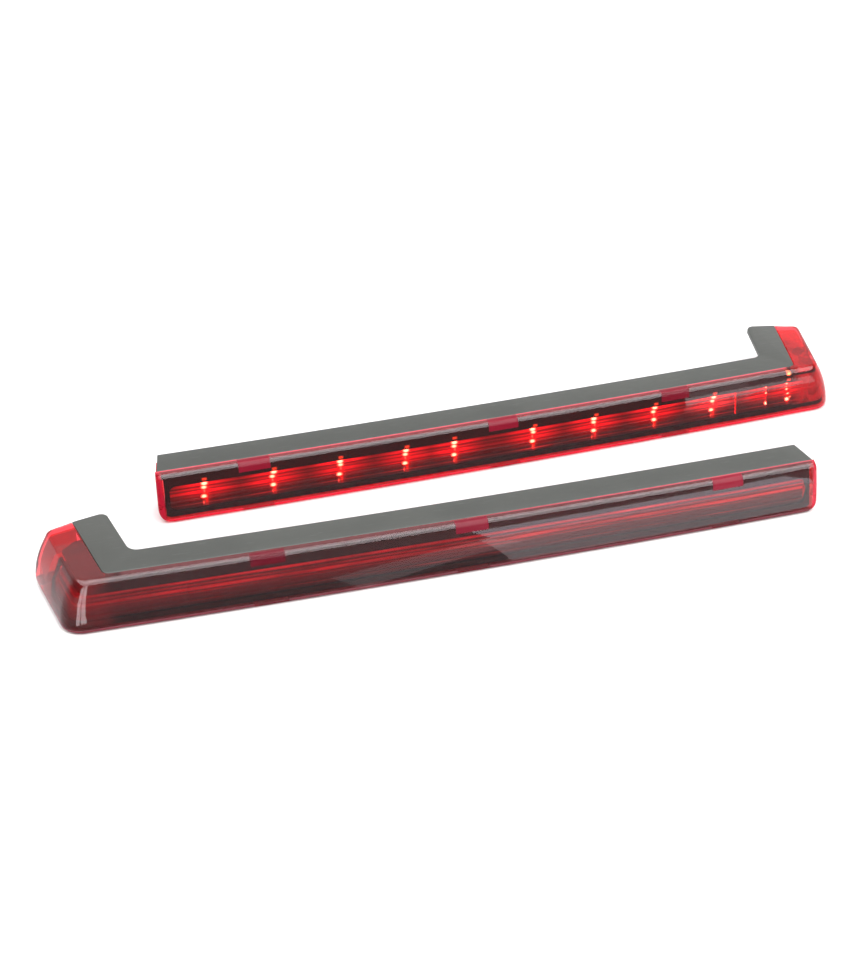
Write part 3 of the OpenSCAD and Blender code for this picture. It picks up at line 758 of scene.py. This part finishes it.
def board_material():
    """Green mask over a pattern of tracks."""
    s = Shade("circuit_board")
    at = s.place()
    tracks = s.node("TexBrick", {"offset": 0.37}, Vector=at, Scale=0.5).outputs["Fac"]
    mask = s.mix_colour(s.step(s.noise(at, 0.3, 3), 0.3, 0.7), (0.01, 0.1, 0.03), (0.02, 0.15, 0.05))
    return s.end(s.principled(
        Base_Color=s.mix_colour(s.times(tracks, 0.4), mask, (0.03, 0.22, 0.08)),
        Roughness=0.32, Normal=s.bump(tracks, 0.3, 0.00003)))


def metal(name, colour, roughness):
    """Turned metal, with fine rings across its height."""
    s = Shade(name)
    at = s.place()
    turned = s.noise(at, 1.2, 4, 0.6, (1, 1, 12))
    return s.end(s.principled(
        Base_Color=s.mix_colour(s.step(turned, 0.3, 0.7), [c * 0.82 for c in colour], colour),
        Metallic=1.0, Roughness=s.step(turned, 0.3, 0.7, roughness * 0.75, roughness * 1.3),
        Normal=s.bump(turned, 0.25, 0.00003)))


def led_material(lit):
    """An LED's yellowish face."""
    s = Shade("led_on" if lit else "led_off")
    at = s.place()
    colour = s.mix_colour(s.step(s.noise(at, 0.8, 2), 0.35, 0.65), (0.85, 0.82, 0.7), (0.9, 0.75, 0.25))
    return s.end(s.principled(
        Base_Color=colour, Roughness=0.35, Emission_Color=(1.0, 0.5, 0.2),
        Emission_Strength=4.0 if lit else 0.0))


PLATE = plate_material()
FRAME = moulded("frame_plastic", (0.018, 0.016, 0.017), 0.45, 0.06, 0.8, Specular_IOR_Level=0.1)
BOARD_MATERIAL = board_material()
CHIPS = moulded("chip_plastic", (0.025, 0.025, 0.028), 0.5)
NODE_MATERIALS = {
    "housing": moulded("housing_plastic", (0.022, 0.021, 0.021), 0.45),
    "reflector": moulded("reflector_plastic", (0.72, 0.72, 0.7), 0.3, 0.15),
    "circuit_board": BOARD_MATERIAL,
    "corner_board": BOARD_MATERIAL,
    "resistors": CHIPS,
    "driver_chips": CHIPS,
    "board_link": moulded("flex_link", (0.5, 0.22, 0.04), 0.3, 0.1),
    "board_screws": metal("screw_steel", (0.6, 0.6, 0.62), 0.35),
    "wire_header": moulded("header_plastic", (0.75, 0.7, 0.55), 0.45),
    "cable_gland": moulded("gland_rubber", (0.02, 0.02, 0.021), 0.75, 0.8, 1.5),
    "threaded_inserts": metal("insert_brass", (0.72, 0.5, 0.2), 0.3),
    "lens_seal": moulded("seal_rubber", (0.045, 0.045, 0.045), 0.65, 0.5),
    "vent_plug": moulded("vent_plastic", (0.03, 0.03, 0.033), 0.55),
}
LED = {side: led_material(side == LIT) for side in SIDES}
LENS = {side: lens_material(side == LIT) for side in SIDES}
LENS_INSIDE = {side: lens_inner_material(side == LIT) for side in SIDES}
OPTIC = {"left": (optic_material(),) * 2,
         "right": (lit_optic_material("optic_lit", GLINTS),
                   lit_optic_material("corner_optic_lit", CORNER_GLINTS))}

for side in SIDES:
    for node, material in NODE_MATERIALS.items():
        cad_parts[f"{side}_{node}"].material_slots[0].material = material
    for node in ("arm_leds", "corner_leds"):
        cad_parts[f"{side}_{node}"].material_slots[0].material = LED[side]

# ---------------------------------------------------------------- the lens

def make_lens(side):
    """A thin shell. Its outside and its inside have a material each."""
    back = HOUSING_BACK - HOUSING_WALL - GAP
    solid = joined(solid_section(WALL_ARM, back), solid_section(WALL_HOOK, 0.4), PLATE_CORNER_R)
    hollow = joined(hollow_section(WALL_ARM, 12, JOINT_ARM), hollow_section(WALL_HOOK, 3, JOINT_HOOK), 1.6)
    lens = new_object("lens", *swept(solid, full_run(0)))
    cavity = new_object("cavity", *swept(hollow, full_run(LENS_WALL)))
    for obj, index in ((lens, 0), (cavity, 1)):
        obj.data.materials.append(LENS[side])
        obj.data.materials.append(LENS_INSIDE[side])
        for face in obj.data.polygons:
            face.material_index = index
    combine(lens, cavity, "DIFFERENCE")
    indices = [face.material_index for face in lens.data.polygons]
    finish_piece(lens, side, "lens_shell", (LENS[side], LENS_INSIDE[side]), "lens", 25)
    for face, index in zip(lens.data.polygons, indices):
        face.material_index = index
    mark_leds(lens, LED_X + CORNER_LED_X)


# ---------------------------------------------------------------- the mounting plate

def rim_line(out_a, out_h, r, x_end, along_end):
    """An edge of the plate, from its straight end, round the corner, to its hook's end."""
    return (
        [arm_point(x_end, out_a)]
        + [arm_point(x, out_a) for x in ARM_XS if x < x_end - 1]
        + [corner_point(i / 12, out_a, out_h, r) for i in range(13)]
        + [hook_point(along_end, out_h)]
    )


def make_plate(side):
    far = HOOK_L - PLATE_TIP_R
    tip = [hook_point(*p) for p in arc((far, PLATE_TIP_R - HOOK_W), PLATE_TIP_R, 0, math.radians(-90), 10)]
    outline = (
        rim_line(0, 0, PLATE_CORNER_R, ARM_L, HOOK_L) + tip
        + list(reversed(rim_line(-ARM_W, -HOOK_W, PLATE_INNER_R, ARM_L, far - 1)))
    )
    rings = [[Vector((p[0], p[1], z)) for p in outline] for z in (PLATE_Z, LAMP_H)]
    plate = new_object("plate", *sweep(rings))
    outward(plate)
    bevelled(plate, 0.3, 3, 50)
    finish_piece(plate, side, "plate", (PLATE,), "mounting_plate", 40)


# ---------------------------------------------------------------- the rim frame and the optics

# How far inside the window's end the sections stand, along its rounded corners.
WINDOW_ROUND = [0, 0.08, 0.3, 0.7, 1.2, 1.9, WINDOW_R]


def make_frame(side):
    """Two bands, above and below the window, which meet half way up in the uprights at both ends."""
    outer, inner = FRAME_DEPTH, FRAME_DEPTH + FRAME_T
    base = ARM_L + END_PROUD - FRAME_DEPTH
    runs = [(rounded(ARM, base - d, d, FRAME_DEPTH), None) for d in (1.2, 1.5, 2.0)]
    runs += [(plain(ARM, WINDOW_END - d), d) for d in WINDOW_ROUND]
    runs += [(plain(ARM, x), WINDOW_R) for x in ARM_XS if x < WINDOW_END - 4]
    runs += [(station, WINDOW_R) for station in CORNER_STEPS]
    runs += [(plain(HOOK, along), WINDOW_R) for along in (11, 14)]
    runs += [(plain(HOOK, FRAME_END - 1.5 - d), d) for d in reversed(WINDOW_ROUND)]
    runs += [(plain(HOOK, FRAME_END), None)]
    middle = (WINDOW_LOW + WINDOW_HIGH) / 2

    def band(low, high, low_hook, high_hook):
        return [behind_wall(depth, mix(low, high, t), mix(low_hook, high_hook, t))
                for depth, t in ((inner, 0), (inner, 1), (outer, 1), (outer, 0))]

    top, bottom = [], []
    for station, d in runs:
        rise = middle - WINDOW_LOW if d is None else pull(d, WINDOW_R)
        drop, drop_hook = (WINDOW_HIGH - middle, WINDOW_HIGH_HOOK - middle) if d is None else (rise, rise)
        upper = band(WINDOW_HIGH - drop, FRAME_HIGH, WINDOW_HIGH_HOOK - drop_hook, FRAME_HIGH)
        lower = band(FRAME_LOW, WINDOW_LOW + rise, FRAME_LOW, WINDOW_LOW + rise)
        top.append([swept_point(station, point) for point in upper])
        bottom.append([swept_point(station, point) for point in lower])
    rim = new_object("rim", *sweep(top))
    combine(rim, new_object("rim_low", *sweep(bottom)), "UNION")
    finish_piece(rim, side, "rim", (FRAME,), "rim_frame", 40)


PER_FLUTE = 8


def optic_section(high_hook):
    """A curved bar with flutes along its front."""
    low, high = WINDOW_LOW - 0.8, WINDOW_HIGH + 0.7
    back = OPTIC_DEPTH + OPTIC_T

    def point(t, depth):
        return behind_wall(depth, mix(low, high, t), mix(low, high_hook, t))

    steps = FLUTES * PER_FLUTE
    front = []
    for i in range(steps, -1, -1):
        dip = FLUTE_DEPTH * (0.5 + 0.5 * math.cos(2 * math.pi * i / PER_FLUTE))
        front.append(point(i / steps, OPTIC_DEPTH + dip))
    return [point(0.5, back), point(1, back)] + front + [point(0, back)]


def nearest_led(x, leds):
    return min(range(len(leds)), key=lambda i: abs(leds[i] - x))


def mark_leds(obj, leds):
    """Stores at each face's corners how far along they are from the nearest LED, and that LED's number."""
    chances = [random.Random(11 + i).random() for i in range(len(leds))]
    mesh = obj.data
    lamp = mesh.attributes["lamp"]
    values = mesh.attributes.new("led", "FLOAT_VECTOR", "CORNER")
    for face in mesh.polygons:
        centre = sum(lamp.data[v].vector[0] for v in face.vertices) / len(face.vertices)
        i = nearest_led(centre, leds)
        for loop in face.loop_indices:
            x = lamp.data[mesh.loops[loop].vertex_index].vector[0]
            values.data[loop].vector = (x - leds[i], chances[i], 0)


def make_optics(side):
    """The main optic along the arm, and the one round the corner. The LEDs' places are among the sections."""
    halfway = [(a + b) / 2 for a, b in zip(LED_X, LED_X[1:])]
    inner = [x for x in ARM_XS if OPTIC_SEAM + 1 < x < WINDOW_END - 1]
    xs = sorted({OPTIC_SEAM + GAP, WINDOW_END - 0.2, *halfway, *LED_X, *inner}, reverse=True)
    main = new_object("optic", *swept(optic_section(WINDOW_HIGH + 0.7), [plain(ARM, x) for x in xs]))
    finish_piece(main, side, "main_optic_fluted", (OPTIC[side][0],), "main_optic", 60)
    mark_leds(main, LED_X)
    run = [plain(ARM, x) for x in (OPTIC_SEAM - GAP, 24, 20, 16, 13)] + CORNER_STEPS
    run += [plain(HOOK, along) for along in (8, 12, 15, FRAME_END - 1.8)]
    corner = new_object("optic", *swept(optic_section(WINDOW_HIGH_HOOK - 0.4), run))
    finish_piece(corner, side, "corner_optic_fluted", (OPTIC[side][1],), "corner_optic", 60)
    mark_leds(corner, CORNER_LED_X)


for side in SIDES:
    make_lens(side)
    make_plate(side)
    make_frame(side)
    make_optics(side)

# ---------------------------------------------------------------- floor and lights

FLOOR_HALF = 4
FLOOR_DROP = 0.00002


def floor_material():
    s = Shade("floor_paper")
    at = s.place()
    grain = s.noise(at, 0.4, 4)
    return s.end(s.principled(
        Base_Color=s.mix_colour(grain, (0.84, 0.84, 0.84), (0.87, 0.87, 0.87)), Roughness=0.9,
        Specular_IOR_Level=0.1, Normal=s.bump(grain, 0.05)))


def make_floor():
    corners = [(x * FLOOR_HALF, y * FLOOR_HALF, 0) for x, y in ((-1, -1), (1, -1), (1, 1), (-1, 1))]
    floor = new_object("floor", corners, [(0, 1, 2, 3)])
    floor.location.z = CAD_BOX[0][2] - FLOOR_DROP
    floor.data.materials.append(floor_material())


def card(name, at, aim, size, radiance, colour=(1, 1, 1), gloss_only=False, diffuse_only=False, spin=0):
    """A soft panel of light with the radiance that it shows in reflections, turned by spin degrees.

    A gloss_only card shows in reflections and lights nothing else. A diffuse_only card is the reverse."""
    data = bpy.data.lights.new(name, "AREA")
    data.shape = "RECTANGLE"
    data.size, data.size_y = size
    data.energy = radiance * math.pi * size[0] * size[1]
    data.color = colour
    light = bpy.data.objects.new(name, data)
    light.location = at
    light.rotation_euler = (Vector(aim) - Vector(at)).to_track_quat("-Z", "Y").to_euler()
    light.rotation_euler.rotate_axis("Z", math.radians(spin))
    light.visible_camera = False
    light.visible_transmission = False
    light.visible_diffuse = not gloss_only
    light.visible_glossy = not diffuse_only
    SCENE.collection.objects.link(light)


def low_card(name, x, y, size, radiance, colour=(1, 1, 1), z=0.001, spin=0):
    """A card that lies just above the floor, faces up and only shows in reflections."""
    card(name, (x, y, z), (x, y, 1), size, radiance, colour, gloss_only=True, spin=spin)


# The y of a direction where the surroundings start and stop brightening, and their strength there.
WORLD_RAMP = (-0.2, 0.7, 0.6, 1.6)


def add_world():
    """White surroundings, brighter behind the lamps."""
    world = bpy.data.worlds.new("studio")
    world.use_nodes = True
    tree = world.node_tree
    tree.nodes.clear()
    coords = tree.nodes.new("ShaderNodeTexCoord")
    split = tree.nodes.new("ShaderNodeSeparateXYZ")
    ramp = tree.nodes.new("ShaderNodeMapRange")
    background = tree.nodes.new("ShaderNodeBackground")
    output = tree.nodes.new("ShaderNodeOutputWorld")
    ramp.interpolation_type = "SMOOTHSTEP"
    for socket, value in zip(ramp.inputs[1:5], WORLD_RAMP):
        socket.default_value = value
    tree.links.new(coords.outputs["Generated"], split.inputs[0])
    tree.links.new(split.outputs[1], ramp.inputs["Value"])
    tree.links.new(ramp.outputs["Result"], background.inputs["Strength"])
    tree.links.new(background.outputs[0], output.inputs["Surface"])
    SCENE.world = world


make_floor()
add_world()
card("key", (0, -0.55, 1.1), (0, 0, 0), (1.6, 0.7), 4.5)
card("back", (0.35, 1.25, 1.0), (0, 0.4, 0), (1.8, 1.0), 2.6, diffuse_only=True)
card("ridge_line", (0.1, -0.3075, 0.444), (0.1, -0.05, 0.015), (1.9, 1.19), 9, gloss_only=True)
# What shows in the front lamp's lens: a wash over its right half, a fainter one beside it, a cool band
# under its ridge, and two upright strips at its corner.
low_card("wash", 0.1225, -0.0815, (0.245, 0.047), 4.0)
low_card("side_wash", -0.027, -0.079, (0.075, 0.022), 1.6, z=0.0012, spin=23)
low_card("cool_band", 0.08, -0.122, (0.15, 0.034), 6.5, (0.85, 0.93, 1))
for x, y, width in ((-0.1634, -0.0636, 0.0048), (-0.1578, -0.0658, 0.0052)):
    card("corner_strip", (x, y, 0.009), (-0.156, -0.0535, 0.009), (width, 0.0175), 12, gloss_only=True)
# The back of the front lamp would darken the rear lamp's window, so a card stands between them.
card("between", (0, -0.031, 0.0105), (0, 1, 0.0105), (0.3, 0.02), 0.9, gloss_only=True)
